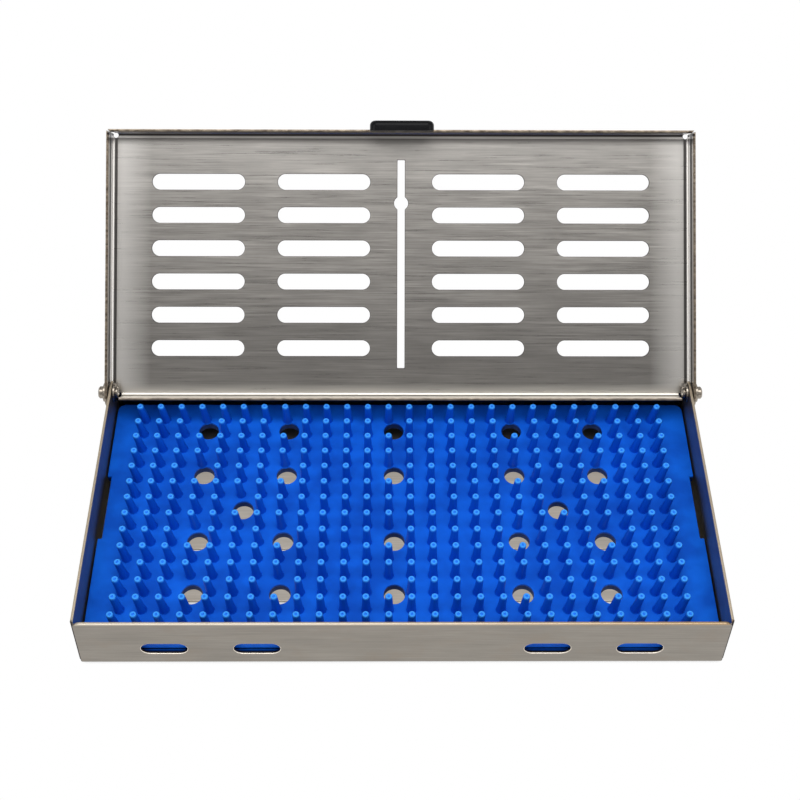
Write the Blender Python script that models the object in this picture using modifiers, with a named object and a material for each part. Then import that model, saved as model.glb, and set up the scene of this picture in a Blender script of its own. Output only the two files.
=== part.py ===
"""Dental instrument cassette, open: a folded steel tray with a pinned silicone mat and a slotted steel lid.

Metres, +Z up. The origin is the middle of the tray's underside. +X runs along the tray to the right and +Y
to the hinge.
"""
import math

import bmesh
import bpy
from mathutils import Matrix, Vector

MM = 0.001

# Sheet and running clearances
SHEET = 0.8 * MM
TRAY_BEND_RADIUS = 2.0 * MM
LID_BEND_RADIUS = 1.6 * MM
FIT_GAP = 0.3 * MM
OVERRUN = 3.0 * MM

# Tray
TRAY_WIDTH = 180.0 * MM
TRAY_DEPTH = 84.0 * MM
TRAY_HEIGHT = 21.0 * MM
FRONT_SEAM_WIDTH = 0.5 * MM
FRONT_WALL_CORNER = 2.2 * MM
REAR_SEAM_WIDTH = 1.5 * MM
REAR_SEAM_FOOT = 4.0 * MM
SIDE_REAR_RADIUS = 3.0 * MM

# Slots low in the front wall, in two pairs
FRONT_SLOT_LENGTH = 12.8 * MM
FRONT_SLOT_WIDTH = 5.2 * MM
FRONT_SLOT_SIDE_MARGIN = 17.9 * MM
FRONT_SLOT_STEP = 25.6 * MM
FRONT_SLOT_HEIGHT = 7.9 * MM

# Slots in the lid's panel, whose columns the tray's floor repeats
SLOT_WIDTH = 4.95 * MM
SLOT_SIDE_MARGIN = 13.2 * MM
SLOT_PAIR_GAP = 10.3 * MM
SLOT_FROM_MIDDLE = 9.7 * MM
LID_SLOT_ROWS = 6
LID_SLOT_END_MARGIN = 15.85 * MM
LID_SLOT_REAR_SHIFT = 0.35 * MM
CENTRE_SLOT_END_MARGIN = 9.3 * MM
CENTRE_SLOT_WIDTH = 2.3 * MM
KEYHOLE_DIAMETER = 4.4 * MM
KEYHOLE_FROM_MIDDLE = 19.0 * MM

# Silicone mat
MAT_GAP = 0.5 * MM
MAT_THICKNESS = 2.8 * MM
MAT_TOP = 8.8 * MM
MAT_CORNER_CHAMFER = 2.4 * MM
MAT_NOTCH_LENGTH = 21.5 * MM
MAT_NOTCH_DEPTH = 1.2 * MM
MAT_NOTCH_MIDDLE = 3.1 * MM
STUD_DIAMETER = 4.0 * MM
STUD_END_MARGIN = 6.7 * MM
STUD_FROM_MIDDLE = 22.0 * MM
STUD_EDGE_MARGIN = 4.0 * MM

# Pins of the mat
PIN_COLUMNS = 26
PIN_ROWS = 14
PIN_MARGIN_LEFT = 9.35 * MM
PIN_MARGIN_RIGHT = 10.55 * MM
PIN_MARGIN_FRONT = 4.6 * MM
PIN_MARGIN_REAR = 6.1 * MM
PIN_HEIGHT = 7.3 * MM
PIN_SPLAY = 0.016
PIN_FOOT_DIAMETER = 2.6 * MM
PIN_TIP_DIAMETER = 2.0 * MM
PIN_ROOT = 0.5 * MM
PIN_SIDES = 4

# Drain holes stand in for single pins; their places are shares of the pin steps from the grid's middle
DRAIN_DIAMETER = 6.1 * MM
DRAIN_ROW_SHARES = (5.75, 2.75, -1.45, -4.6)
DRAIN_COLUMN_SHARES = (-9.35, -5.4, -0.25, 5.55, 9.55)
MIDDLE_DRAIN_ROW_SHARE = 0.5
MIDDLE_DRAIN_COLUMN_SHARES = (-7.35, 7.5)

# Lid and hinge
LID_LIFT = 0.3 * MM
LID_FLANGE_DEPTH = 8.5 * MM
LID_TAIL = 2.2 * MM
LID_OPEN_ANGLE = math.radians(134.5)
LID_RELIEF_DIAMETER = 1.6 * MM
LID_RELIEF_INSET = 1.7 * MM
LID_CORNER_SLIT = 0.5 * MM
HINGE_SLIT_END_GAP = 0.6 * MM
HINGE_SLIT_INNER_GAP = 0.4 * MM
HINGE_FLANGE_END_GAP = 2.0 * MM
PIVOT_FROM_REAR = 3.6 * MM
PIVOT_BELOW_RIM = 3.0 * MM
RIVET_SHANK_DIAMETER = 2.2 * MM
RIVET_HEAD_DIAMETER = 3.8 * MM
RIVET_HEAD_HEIGHT = 1.3 * MM
RIVET_HEAD_ROUND = 0.4 * MM
RIVET_TAIL_DIAMETER = 3.4 * MM
RIVET_TAIL_HEIGHT = 0.6 * MM
RIVET_TAIL_ROUND = 0.2 * MM
WASHER_DIAMETER = 5.8 * MM
WASHER_THICKNESS = 0.5 * MM

# Latch
LATCH_TONGUE_WIDTH = 17.0 * MM
LATCH_TONGUE_THICKNESS = 0.5 * MM
LATCH_TONGUE_TOP = 2.6 * MM
LATCH_TONGUE_FOOT = 3.2 * MM
LATCH_TONGUE_CORNER = 2.0 * MM
LATCH_GRIP_WIDTH = 19.4 * MM
LATCH_GRIP_FOOT = 1.6 * MM
LATCH_GRIP_INNER_WALL = 0.7 * MM
LATCH_GRIP_OUTER_WALL = 1.3 * MM
LATCH_GRIP_ROUND = 0.9 * MM
LATCH_GRIP_CORNER = 2.4 * MM
LATCH_GRIP_WALL_GAP = 0.45 * MM

# Facets
ROUND_SEGMENTS = 24
SLOT_SEGMENTS = 14
BEND_SEGMENTS = 4
STUD_SIDES = 10
DRAIN_SIDES = 12

# Places that follow from the sizes above
TRAY_HALF_WIDTH = TRAY_WIDTH / 2
TRAY_HALF_DEPTH = TRAY_DEPTH / 2
PIVOT = Vector((0, TRAY_HALF_DEPTH - PIVOT_FROM_REAR, TRAY_HEIGHT - PIVOT_BELOW_RIM))
LID_HALF_WIDTH = TRAY_HALF_WIDTH + FIT_GAP + SHEET
LID_TOP = PIVOT_BELOW_RIM + LID_LIFT + SHEET
LID_FRONT = -(PIVOT.y + TRAY_HALF_DEPTH + FIT_GAP + SHEET)
LID_LENGTH = LID_TAIL - LID_FRONT
LID_MIDDLE = (LID_TAIL + LID_FRONT) / 2
MAT_HALF_WIDTH = TRAY_HALF_WIDTH - SHEET - MAT_GAP
MAT_HALF_DEPTH = TRAY_HALF_DEPTH - SHEET - MAT_GAP
PIN_STEP_X = (2 * MAT_HALF_WIDTH - PIN_MARGIN_LEFT - PIN_MARGIN_RIGHT) / (PIN_COLUMNS - 1)
PIN_STEP_Y = (2 * MAT_HALF_DEPTH - PIN_MARGIN_FRONT - PIN_MARGIN_REAR) / (PIN_ROWS - 1)
PIN_GRID_X = (PIN_MARGIN_LEFT - PIN_MARGIN_RIGHT) / 2
PIN_GRID_Y = (PIN_MARGIN_FRONT - PIN_MARGIN_REAR) / 2
PIN_TIP_HEIGHT = MAT_TOP + PIN_HEIGHT
PANEL_SLOT_LENGTH = (LID_HALF_WIDTH - SLOT_SIDE_MARGIN - SLOT_PAIR_GAP - SLOT_FROM_MIDDLE) / 2

# Open, the lid's outside rests on the back wall's inner edge, at the height that the swing gives
OPEN_SINE, OPEN_COSINE = math.sin(LID_OPEN_ANGLE), math.cos(LID_OPEN_ANGLE)
WALL_FROM_PIVOT = PIVOT_FROM_REAR - SHEET
BACK_WALL_HEIGHT = PIVOT.z + (LID_TOP + FIT_GAP - WALL_FROM_PIVOT * OPEN_SINE) / OPEN_COSINE

# The side walls' rear edges cross the open lid's panel this far from the hinge axis
WALL_CROSSING = ((LID_TOP - SHEET) * OPEN_SINE - PIVOT_FROM_REAR) / OPEN_COSINE
HINGE_SLIT_LENGTH = LID_TAIL + WALL_CROSSING + HINGE_SLIT_END_GAP

# The hinge flange swings past the tips of the rear row of pins
REAR_PIN_EDGE = MAT_HALF_DEPTH - PIN_MARGIN_REAR + PIN_TIP_DIAMETER / 2
FLANGE_SWING = math.hypot(PIVOT.y - REAR_PIN_EDGE, PIVOT.z - PIN_TIP_HEIGHT) - FIT_GAP
LID_HINGE_FLANGE_DEPTH = LID_TOP + math.sqrt(FLANGE_SWING ** 2 - LID_TAIL ** 2)


def clear_scene():
    for item in list(bpy.data.objects):
        bpy.data.objects.remove(item, do_unlink=True)


def make_collection(name):
    collection = bpy.data.collections.new(name)
    bpy.context.scene.collection.children.link(collection)
    return collection


def make_material(name, color, roughness, metallic):
    material = bpy.data.materials.new(name)
    material.use_nodes = True
    shader = material.node_tree.nodes["Principled BSDF"]
    shader.inputs["Base Color"].default_value = (*color, 1)
    shader.inputs["Roughness"].default_value = roughness
    shader.inputs["Metallic"].default_value = metallic
    return material


def mesh_object(name, bm, collection, material=None):
    bmesh.ops.recalc_face_normals(bm, faces=bm.faces)
    mesh = bpy.data.meshes.new(name)
    bm.to_mesh(mesh)
    bm.free()
    item = bpy.data.objects.new(name, mesh)
    collection.objects.link(item)
    if material:
        mesh.materials.append(material)
    return item


def cutter_object(name, bm, parent=None):
    item = mesh_object(name, bm, CUTTERS)
    item.hide_render = True
    item.display_type = "WIRE"
    item.parent = parent
    return item


def cut(item, cutter, operation="DIFFERENCE"):
    modifier = item.modifiers.new(cutter.name, "BOOLEAN")
    modifier.operation = operation
    modifier.solver = "EXACT"
    modifier.object = cutter


def solidify(item):
    modifier = item.modifiers.new("sheet", "SOLIDIFY")
    modifier.thickness = SHEET
    modifier.offset = -1
    modifier.use_even_offset = True


def shade_round(item, angle_degrees=35):
    item.data.shade_smooth()
    item.data.set_sharp_from_angle(angle=math.radians(angle_degrees))


def add_box(bm, low, high):
    """A box between two corners; gives its vertices."""
    low, high = Vector(low), Vector(high)
    place = Matrix.Translation((low + high) / 2) @ Matrix.Diagonal((*(high - low), 1))
    return bmesh.ops.create_cube(bm, size=1, matrix=place)["verts"]


def add_cylinder(bm, center, axis, diameter, length, segments=ROUND_SEGMENTS, tip_diameter=None):
    """A cylinder, or a cone with tip_diameter, about center along the axis X, Y or Z."""
    turn = {"X": Matrix.Rotation(math.pi / 2, 4, "Y"),
            "Y": Matrix.Rotation(-math.pi / 2, 4, "X"),
            "Z": Matrix.Identity(4)}[axis]
    tip = diameter if tip_diameter is None else tip_diameter
    return bmesh.ops.create_cone(bm, cap_ends=True, segments=segments, radius1=diameter / 2,
                                 radius2=tip / 2, depth=length,
                                 matrix=Matrix.Translation(center) @ turn)["verts"]


def add_obround(bm, center, axis, length, width, thickness):
    """A slot shape with its length along X: a prism whose two halves are drawn apart."""
    half_step = math.pi / SLOT_SEGMENTS
    turn = Matrix.Rotation(half_step, 4, "Z")
    place = Matrix.Identity(4) if axis == "Z" else Matrix.Rotation(-math.pi / 2, 4, "X")
    radius = width / 2 / math.cos(half_step)
    verts = bmesh.ops.create_cone(bm, cap_ends=True, segments=SLOT_SEGMENTS, radius1=radius, radius2=radius,
                                  depth=thickness, matrix=place @ turn)["verts"]
    for vert in verts:
        vert.co.x += math.copysign((length - width) / 2, vert.co.x)
        vert.co += Vector(center)


def edges_where(bm, test):
    return [edge for edge in bm.edges if test(*(vert.co for vert in edge.verts))]


def pan_surface(low, high, open_up, bend_radius):
    """The outside of a folded pan: a box open above or below, with bent edges round its flat."""
    bm = bmesh.new()
    add_box(bm, low, high)
    open_z, flat_z = (high[2], low[2]) if open_up else (low[2], high[2])
    tall = high[2] - low[2]
    is_open = [face for face in bm.faces if abs(face.calc_center_median().z - open_z) < tall / 4]
    bmesh.ops.delete(bm, geom=is_open, context="FACES")
    flat = edges_where(bm, lambda a, b: abs(a.z - flat_z) < tall / 4 and abs(b.z - flat_z) < tall / 4)
    bmesh.ops.bevel(bm, geom=flat, affect="EDGES", offset=bend_radius, segments=BEND_SEGMENTS,
                    profile=0.5, clamp_overlap=True, material=-1)
    return bm


def panel_slots(bm, rows, center_y, z):
    """Rows of four slots through a flat sheet at height z."""
    inner_middle = SLOT_FROM_MIDDLE + PANEL_SLOT_LENGTH / 2
    outer_middle = inner_middle + PANEL_SLOT_LENGTH + SLOT_PAIR_GAP
    for y in rows:
        for x in (-outer_middle, -inner_middle, inner_middle, outer_middle):
            add_obround(bm, (x, center_y + y, z), "Z", PANEL_SLOT_LENGTH, SLOT_WIDTH, 2 * OVERRUN)


def pin_place(column_share, row_share):
    """A point of the pin grid, in steps from its middle."""
    return (PIN_GRID_X + column_share * PIN_STEP_X, PIN_GRID_Y + row_share * PIN_STEP_Y)


def drain_rows():
    return [pin_place(0, share)[1] for share in DRAIN_ROW_SHARES]


def drain_places():
    places = [pin_place(c, r) for r in DRAIN_ROW_SHARES for c in DRAIN_COLUMN_SHARES]
    return places + [pin_place(c, MIDDLE_DRAIN_ROW_SHARE) for c in MIDDLE_DRAIN_COLUMN_SHARES]


def make_tray():
    surface = pan_surface((-TRAY_HALF_WIDTH, -TRAY_HALF_DEPTH, 0),
                          (TRAY_HALF_WIDTH, TRAY_HALF_DEPTH, TRAY_HEIGHT), open_up=True,
                          bend_radius=TRAY_BEND_RADIUS)
    tray = mesh_object("tray", surface, PARTS, STEEL)
    solidify(tray)

    # The front wall's slots, and the floor's under the mat's drain rows
    slots = bmesh.new()
    outer_slot = TRAY_HALF_WIDTH - FRONT_SLOT_SIDE_MARGIN - FRONT_SLOT_LENGTH / 2
    for side in (-1, 1):
        for x in (side * outer_slot, side * (outer_slot - FRONT_SLOT_STEP)):
            add_obround(slots, (x, -TRAY_HALF_DEPTH, FRONT_SLOT_HEIGHT), "Y", FRONT_SLOT_LENGTH,
                        FRONT_SLOT_WIDTH, 2 * OVERRUN)
    panel_slots(slots, drain_rows(), 0, SHEET / 2)
    cut(tray, cutter_object("tray_slots", slots))

    # The front wall stands between open seams, with rounded upper corners
    front = bmesh.new()
    wall_half = TRAY_HALF_WIDTH - FRONT_SEAM_WIDTH
    wall_back = -TRAY_HALF_DEPTH + SHEET
    for side in (-1, 1):
        near, far = sorted((side * wall_half, side * (TRAY_HALF_WIDTH + OVERRUN)))
        add_box(front, (near, -TRAY_HALF_DEPTH - OVERRUN, -OVERRUN), (far, wall_back, TRAY_HEIGHT + OVERRUN))
    cut(tray, cutter_object("front_seams", front))
    corners = bmesh.new()
    add_box(corners, (-wall_half - OVERRUN, -TRAY_HALF_DEPTH - OVERRUN, TRAY_HEIGHT - FRONT_WALL_CORNER),
            (wall_half + OVERRUN, wall_back, TRAY_HEIGHT + OVERRUN))
    kept = bmesh.new()
    add_box(kept, (-wall_half, -TRAY_HALF_DEPTH - 2 * OVERRUN, 0),
            (wall_half, wall_back + OVERRUN, TRAY_HEIGHT))
    top_corners = edges_where(kept, lambda a, b: (min(a.z, b.z) > TRAY_HEIGHT / 2
                                                  and abs(a.x - b.x) < SHEET))
    bmesh.ops.bevel(kept, geom=top_corners, affect="EDGES", offset=FRONT_WALL_CORNER,
                    segments=2 * BEND_SEGMENTS, profile=0.5, clamp_overlap=True, material=-1)
    corner_cutter = cutter_object("front_wall_corners", corners)
    cut(corner_cutter, cutter_object("front_wall_rounding", kept))
    cut(tray, corner_cutter)

    # The low back wall
    back = bmesh.new()
    inner = TRAY_HALF_WIDTH - SHEET
    wall_front = TRAY_HALF_DEPTH - SHEET
    add_box(back, (-inner, wall_front - OVERRUN, BACK_WALL_HEIGHT),
            (inner, TRAY_HALF_DEPTH + OVERRUN, TRAY_HEIGHT + OVERRUN))
    cut(tray, cutter_object("back_wall_top", back))

    # Open seams between the back wall and the side walls, with a round foot
    seams = bmesh.new()
    for side in (-1, 1):
        near, far = sorted((side * inner, side * (inner - REAR_SEAM_WIDTH)))
        add_box(seams, (near, wall_front - SHEET, REAR_SEAM_FOOT),
                (far, TRAY_HALF_DEPTH + OVERRUN, TRAY_HEIGHT))
    cut(tray, cutter_object("rear_seams", seams))

    # The side walls' rounded upper rear corners
    corner = bmesh.new()
    add_box(corner, (-TRAY_WIDTH, TRAY_HALF_DEPTH - SIDE_REAR_RADIUS, TRAY_HEIGHT - SIDE_REAR_RADIUS),
            (TRAY_WIDTH, TRAY_HALF_DEPTH + OVERRUN, TRAY_HEIGHT + OVERRUN))
    rounding = bmesh.new()
    add_cylinder(rounding, (0, TRAY_HALF_DEPTH - SIDE_REAR_RADIUS, TRAY_HEIGHT - SIDE_REAR_RADIUS), "X",
                 2 * SIDE_REAR_RADIUS, 3 * TRAY_WIDTH, 2 * ROUND_SEGMENTS)
    rear_cutter = cutter_object("side_wall_corner", corner)
    cut(rear_cutter, cutter_object("side_wall_rounding", rounding))
    cut(tray, rear_cutter)

    holes = bmesh.new()
    add_cylinder(holes, PIVOT, "X", RIVET_SHANK_DIAMETER + 2 * FIT_GAP, TRAY_WIDTH + 2 * OVERRUN)
    cut(tray, cutter_object("tray_rivet_holes", holes))
    shade_round(tray)
    return tray


def make_mat():
    plate = bmesh.new()
    add_box(plate, (-MAT_HALF_WIDTH, -MAT_HALF_DEPTH, MAT_TOP - MAT_THICKNESS),
            (MAT_HALF_WIDTH, MAT_HALF_DEPTH, MAT_TOP))
    upright = edges_where(plate, lambda a, b: abs(a.z - b.z) > MAT_THICKNESS / 2)
    bmesh.ops.bevel(plate, geom=upright, affect="EDGES", offset=MAT_CORNER_CHAMFER, segments=1,
                    profile=0.5, clamp_overlap=True, material=-1)
    mat = mesh_object("silicone_mat", plate, PARTS, SILICONE)

    studs = bmesh.new()
    stud_top = MAT_TOP - MAT_THICKNESS / 2
    stud_foot = SHEET + FIT_GAP
    end = MAT_HALF_WIDTH - STUD_END_MARGIN
    # One row along each long edge, and one midway between each two drain rows
    rows = [(a + b) / 2 for a, b in zip(drain_rows(), drain_rows()[1:])]
    edge = MAT_HALF_DEPTH - STUD_EDGE_MARGIN
    for x in (-end, -STUD_FROM_MIDDLE, STUD_FROM_MIDDLE, end):
        for y in (-edge, *rows, edge):
            add_cylinder(studs, (x, y, (stud_top + stud_foot) / 2), "Z", STUD_DIAMETER,
                         stud_top - stud_foot, STUD_SIDES)
    cut(mat, cutter_object("mat_studs", studs), "UNION")

    # A pin at every point of the grid where no drain hole is
    drains = drain_places()
    clear = DRAIN_DIAMETER / 2
    pins = bmesh.new()
    for column in range(PIN_COLUMNS):
        for row in range(PIN_ROWS):
            x, y = pin_place(column - (PIN_COLUMNS - 1) / 2, row - (PIN_ROWS - 1) / 2)
            if any(math.hypot(x - a, y - b) < clear for a, b in drains):
                continue
            middle = MAT_TOP + (PIN_HEIGHT - PIN_ROOT) / 2
            verts = add_cylinder(pins, (x, y, middle), "Z", PIN_FOOT_DIAMETER, PIN_HEIGHT + PIN_ROOT,
                                 PIN_SIDES, PIN_TIP_DIAMETER)
            bmesh.ops.translate(pins, vec=(x * PIN_SPLAY, 0, 0), verts=[v for v in verts if v.co.z > middle])
    cut(mat, cutter_object("mat_pins", pins), "UNION")

    # Drain holes and the shallow notch in each end
    openings = bmesh.new()
    for x, y in drains:
        add_cylinder(openings, (x, y, MAT_TOP), "Z", DRAIN_DIAMETER, 2 * MAT_THICKNESS + OVERRUN,
                     DRAIN_SIDES)
    for side in (-1, 1):
        near, far = sorted((side * (MAT_HALF_WIDTH - MAT_NOTCH_DEPTH), side * (MAT_HALF_WIDTH + OVERRUN)))
        notch_foot = MAT_TOP - MAT_THICKNESS - OVERRUN
        add_box(openings, (near, MAT_NOTCH_MIDDLE - MAT_NOTCH_LENGTH / 2, notch_foot),
                (far, MAT_NOTCH_MIDDLE + MAT_NOTCH_LENGTH / 2, MAT_TOP + OVERRUN))
    cut(mat, cutter_object("mat_openings", openings))
    return mat


def make_lid(pivot):
    """The lid, drawn closed in the pivot's own axes: the hinge axis is the origin, the front along -Y."""
    bottom = LID_TOP - LID_FLANGE_DEPTH
    surface = pan_surface((-LID_HALF_WIDTH, LID_FRONT, bottom), (LID_HALF_WIDTH, LID_TAIL, LID_TOP),
                          open_up=False, bend_radius=LID_BEND_RADIUS)
    lid = mesh_object("lid", surface, PARTS, STEEL)
    lid.parent = pivot
    solidify(lid)

    slots = bmesh.new()
    row_step = (LID_LENGTH - 2 * LID_SLOT_END_MARGIN) / (LID_SLOT_ROWS - 1)
    rows = [(row - (LID_SLOT_ROWS - 1) / 2) * row_step for row in range(LID_SLOT_ROWS)]
    panel_slots(slots, rows, LID_MIDDLE + LID_SLOT_REAR_SHIFT, LID_TOP)
    cut(lid, cutter_object("lid_slots", slots, pivot))

    # The long centre slot, and the round keyhole on it
    centre = bmesh.new()
    add_box(centre, (-CENTRE_SLOT_WIDTH / 2, LID_FRONT + CENTRE_SLOT_END_MARGIN, LID_TOP - OVERRUN),
            (CENTRE_SLOT_WIDTH / 2, LID_TAIL - CENTRE_SLOT_END_MARGIN, LID_TOP + OVERRUN))
    cut(lid, cutter_object("lid_centre_slot", centre, pivot))
    keyhole = bmesh.new()
    add_cylinder(keyhole, (0, LID_MIDDLE - KEYHOLE_FROM_MIDDLE, LID_TOP), "Z", KEYHOLE_DIAMETER, 2 * OVERRUN)
    cut(lid, cutter_object("lid_keyhole", keyhole, pivot))

    # A relief hole in each front corner, with the slit between the flanges' ends
    reliefs = bmesh.new()
    slits = bmesh.new()
    slit_reach = LID_RELIEF_INSET + OVERRUN
    for side in (-1, 1):
        x, y = side * (LID_HALF_WIDTH - LID_RELIEF_INSET), LID_FRONT + LID_RELIEF_INSET
        add_cylinder(reliefs, (x, y, LID_TOP), "Z", LID_RELIEF_DIAMETER, 2 * LID_FLANGE_DEPTH,
                     ROUND_SEGMENTS // 2)
        verts = add_box(slits, (-LID_CORNER_SLIT / 2, -slit_reach, -2 * LID_FLANGE_DEPTH),
                        (LID_CORNER_SLIT / 2, 0, OVERRUN))
        place = Matrix.Translation((x, y, LID_TOP)) @ Matrix.Rotation(side * math.pi / 4, 4, "Z")
        bmesh.ops.transform(slits, matrix=place, verts=verts)
    cut(lid, cutter_object("lid_corner_reliefs", reliefs, pivot))
    cut(lid, cutter_object("lid_corner_slits", slits, pivot))

    # The hinge flange is shallower, to pass over the pins
    inner = LID_HALF_WIDTH - SHEET
    shallow = bmesh.new()
    add_box(shallow, (-inner, LID_TAIL - LID_BEND_RADIUS, bottom - OVERRUN),
            (inner, LID_TAIL + OVERRUN, LID_TOP - LID_HINGE_FLANGE_DEPTH))
    cut(lid, cutter_object("hinge_flange_edge", shallow, pivot))

    # Its ends stop short of the rivets' inner heads
    flange_ends = bmesh.new()
    flange_end = TRAY_HALF_WIDTH - SHEET - HINGE_FLANGE_END_GAP
    for side in (-1, 1):
        near, far = sorted((side * flange_end, side * (LID_HALF_WIDTH + OVERRUN)))
        add_box(flange_ends, (near, LID_TAIL - LID_BEND_RADIUS, bottom - OVERRUN),
                (far, LID_TAIL + OVERRUN, LID_TOP + OVERRUN))
    cut(lid, cutter_object("hinge_flange_ends", flange_ends, pivot))

    # Slits that the tray's side walls enter, and room for the round ears
    ear_slits = bmesh.new()
    slit_front = LID_TAIL - HINGE_SLIT_LENGTH
    slit_inner = TRAY_HALF_WIDTH - SHEET - HINGE_SLIT_INNER_GAP
    ear_room = bmesh.new()
    ears = bmesh.new()
    for side in (-1, 1):
        near, far = sorted((side * slit_inner, side * inner))
        add_box(ear_slits, (near, slit_front, bottom - OVERRUN),
                (far, LID_TAIL + OVERRUN, LID_TOP + OVERRUN))
        near, far = sorted((side * (inner - SHEET), side * (LID_HALF_WIDTH + OVERRUN)))
        add_box(ear_room, (near, 0, bottom - OVERRUN), (far, LID_TAIL + OVERRUN, LID_TOP + OVERRUN))
        add_cylinder(ears, (side * (inner + SHEET / 2), 0, LID_TOP - LID_FLANGE_DEPTH / 2), "X",
                     LID_FLANGE_DEPTH, SHEET, 2 * ROUND_SEGMENTS)
    cut(lid, cutter_object("lid_ear_slits", ear_slits, pivot))
    cut(lid, cutter_object("lid_ear_room", ear_room, pivot))
    cut(lid, cutter_object("lid_ears", ears, pivot), "UNION")

    holes = bmesh.new()
    add_cylinder(holes, (0, 0, 0), "X", RIVET_SHANK_DIAMETER + 2 * FIT_GAP, 2 * (LID_HALF_WIDTH + OVERRUN))
    cut(lid, cutter_object("lid_rivet_holes", holes, pivot))
    shade_round(lid)
    return lid


def turned(name, profile, center, side, material):
    """A piece turned about X from a profile of (along, radius) points; side 1 points its far end to +X."""
    bm = bmesh.new()
    verts = [bm.verts.new((along, radius, 0)) for along, radius in profile]
    edges = [bm.edges.new(pair) for pair in zip(verts, verts[1:])]
    bmesh.ops.spin(bm, geom=verts + edges, cent=(0, 0, 0), axis=(1, 0, 0), angle=2 * math.pi,
                   steps=ROUND_SEGMENTS, use_merge=True, use_duplicate=False)
    bmesh.ops.remove_doubles(bm, verts=bm.verts, dist=SHEET / 1000)
    bmesh.ops.transform(bm, matrix=Matrix.Diagonal((side, 1, 1, 1)), verts=bm.verts)
    item = mesh_object(name, bm, PARTS, material)
    item.location = center
    shade_round(item)
    return item


def washer_profile(inner_face):
    bore = RIVET_SHANK_DIAMETER / 2 + FIT_GAP
    rim = WASHER_DIAMETER / 2
    far = inner_face + WASHER_THICKNESS
    return [(inner_face, bore), (inner_face, rim), (far, rim), (far, bore), (inner_face, bore)]


def make_rivet(side_name, side):
    """A rivet through the lid's ear and the tray's wall, headed outside and peened inside, two washers."""
    outer_washer = LID_HALF_WIDTH + FIT_GAP
    head = outer_washer + WASHER_THICKNESS + FIT_GAP
    head_end = head + RIVET_HEAD_HEIGHT
    inner_washer = TRAY_HALF_WIDTH - SHEET - FIT_GAP - WASHER_THICKNESS
    tail = inner_washer - FIT_GAP
    tail_end = tail - RIVET_TAIL_HEIGHT
    shank = RIVET_SHANK_DIAMETER / 2
    head_rim = RIVET_HEAD_DIAMETER / 2
    tail_rim = RIVET_TAIL_DIAMETER / 2
    profile = [(tail_end, 0), (tail_end, tail_rim - RIVET_TAIL_ROUND),
               (tail_end + RIVET_TAIL_ROUND, tail_rim), (tail, tail_rim), (tail, shank), (head, shank),
               (head, head_rim), (head_end - RIVET_HEAD_ROUND, head_rim),
               (head_end, head_rim - RIVET_HEAD_ROUND), (head_end, 0)]
    turned("hinge_rivet_" + side_name, profile, PIVOT, side, STEEL_BRIGHT)
    turned("outer_washer_" + side_name, washer_profile(outer_washer), PIVOT, side, STEEL_BRIGHT)
    turned("inner_washer_" + side_name, washer_profile(inner_washer), PIVOT, side, STEEL_BRIGHT)


def make_latch(pivot):
    """The spring tongue on the front flange and the sleeve over its end, drawn in the lid's own axes."""
    floor = -PIVOT.z
    tongue_back = LID_FRONT - FIT_GAP
    tongue_front = tongue_back - LATCH_TONGUE_THICKNESS
    tongue_top = LID_TOP - LATCH_TONGUE_TOP
    flex = bpy.data.objects.new("latch_flex", None)
    PARTS.objects.link(flex)
    flex.parent = pivot
    flex.location = (0, (tongue_back + tongue_front) / 2, tongue_top)

    def placed(item):
        item.parent = flex
        item.matrix_parent_inverse = Matrix.Translation(-flex.location)
        return item

    half = LATCH_TONGUE_WIDTH / 2
    tongue = bmesh.new()
    add_box(tongue, (-half, tongue_front, floor + LATCH_TONGUE_FOOT), (half, tongue_back, tongue_top))
    thin_edges = edges_where(tongue, lambda a, b: abs(a.y - b.y) > LATCH_TONGUE_THICKNESS / 2)
    bmesh.ops.bevel(tongue, geom=thin_edges, affect="EDGES", offset=LATCH_TONGUE_CORNER,
                    segments=BEND_SEGMENTS, profile=0.5, clamp_overlap=True, material=-1)
    placed(mesh_object("latch_spring", tongue, PARTS, STEEL))

    # The sleeve fills the space in front of the tray's wall, from the flange's edge down to its foot
    wall_face = -(PIVOT.y + TRAY_HALF_DEPTH)
    back = wall_face - LATCH_GRIP_WALL_GAP
    front = tongue_front - FIT_GAP - LATCH_GRIP_OUTER_WALL
    top = LID_TOP - LID_FLANGE_DEPTH - FIT_GAP
    grip_half = LATCH_GRIP_WIDTH / 2
    sleeve = bmesh.new()
    add_box(sleeve, (-grip_half, front, floor + LATCH_GRIP_FOOT), (grip_half, back, top))
    foot_edges = edges_where(sleeve, lambda a, b: (abs(a.y - b.y) > (back - front) / 2
                                                   and a.z < (top + floor) / 2))
    bmesh.ops.bevel(sleeve, geom=foot_edges, affect="EDGES", offset=LATCH_GRIP_CORNER,
                    segments=2 * BEND_SEGMENTS, profile=0.5, clamp_overlap=True, material=-1)
    outer_edges = edges_where(sleeve, lambda a, b: max(a.y, b.y) < front + LATCH_GRIP_ROUND / 4)
    bmesh.ops.bevel(sleeve, geom=outer_edges, affect="EDGES", offset=LATCH_GRIP_ROUND,
                    segments=2, profile=0.5, clamp_overlap=True, material=-1)
    grip = placed(mesh_object("latch_grip", sleeve, PARTS, RUBBER))
    pocket = bmesh.new()
    add_box(pocket, (-half - FIT_GAP, tongue_front - FIT_GAP, floor + LATCH_TONGUE_FOOT - FIT_GAP),
            (half + FIT_GAP, back - LATCH_GRIP_INNER_WALL, top + OVERRUN))
    cut(grip, placed(cutter_object("grip_pocket", pocket, flex)))


clear_scene()
PARTS = make_collection("dental_instrument_cassette")
CUTTERS = make_collection("cutters")
STEEL = make_material("brushed_steel", (0.42, 0.40, 0.37), 0.34, 1.0)
STEEL_BRIGHT = make_material("turned_steel", (0.55, 0.54, 0.52), 0.25, 1.0)
SILICONE = make_material("blue_silicone", (0.004, 0.107, 0.646), 0.5, 0.0)
RUBBER = make_material("black_rubber", (0.01, 0.01, 0.011), 0.35, 0.0)

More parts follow.
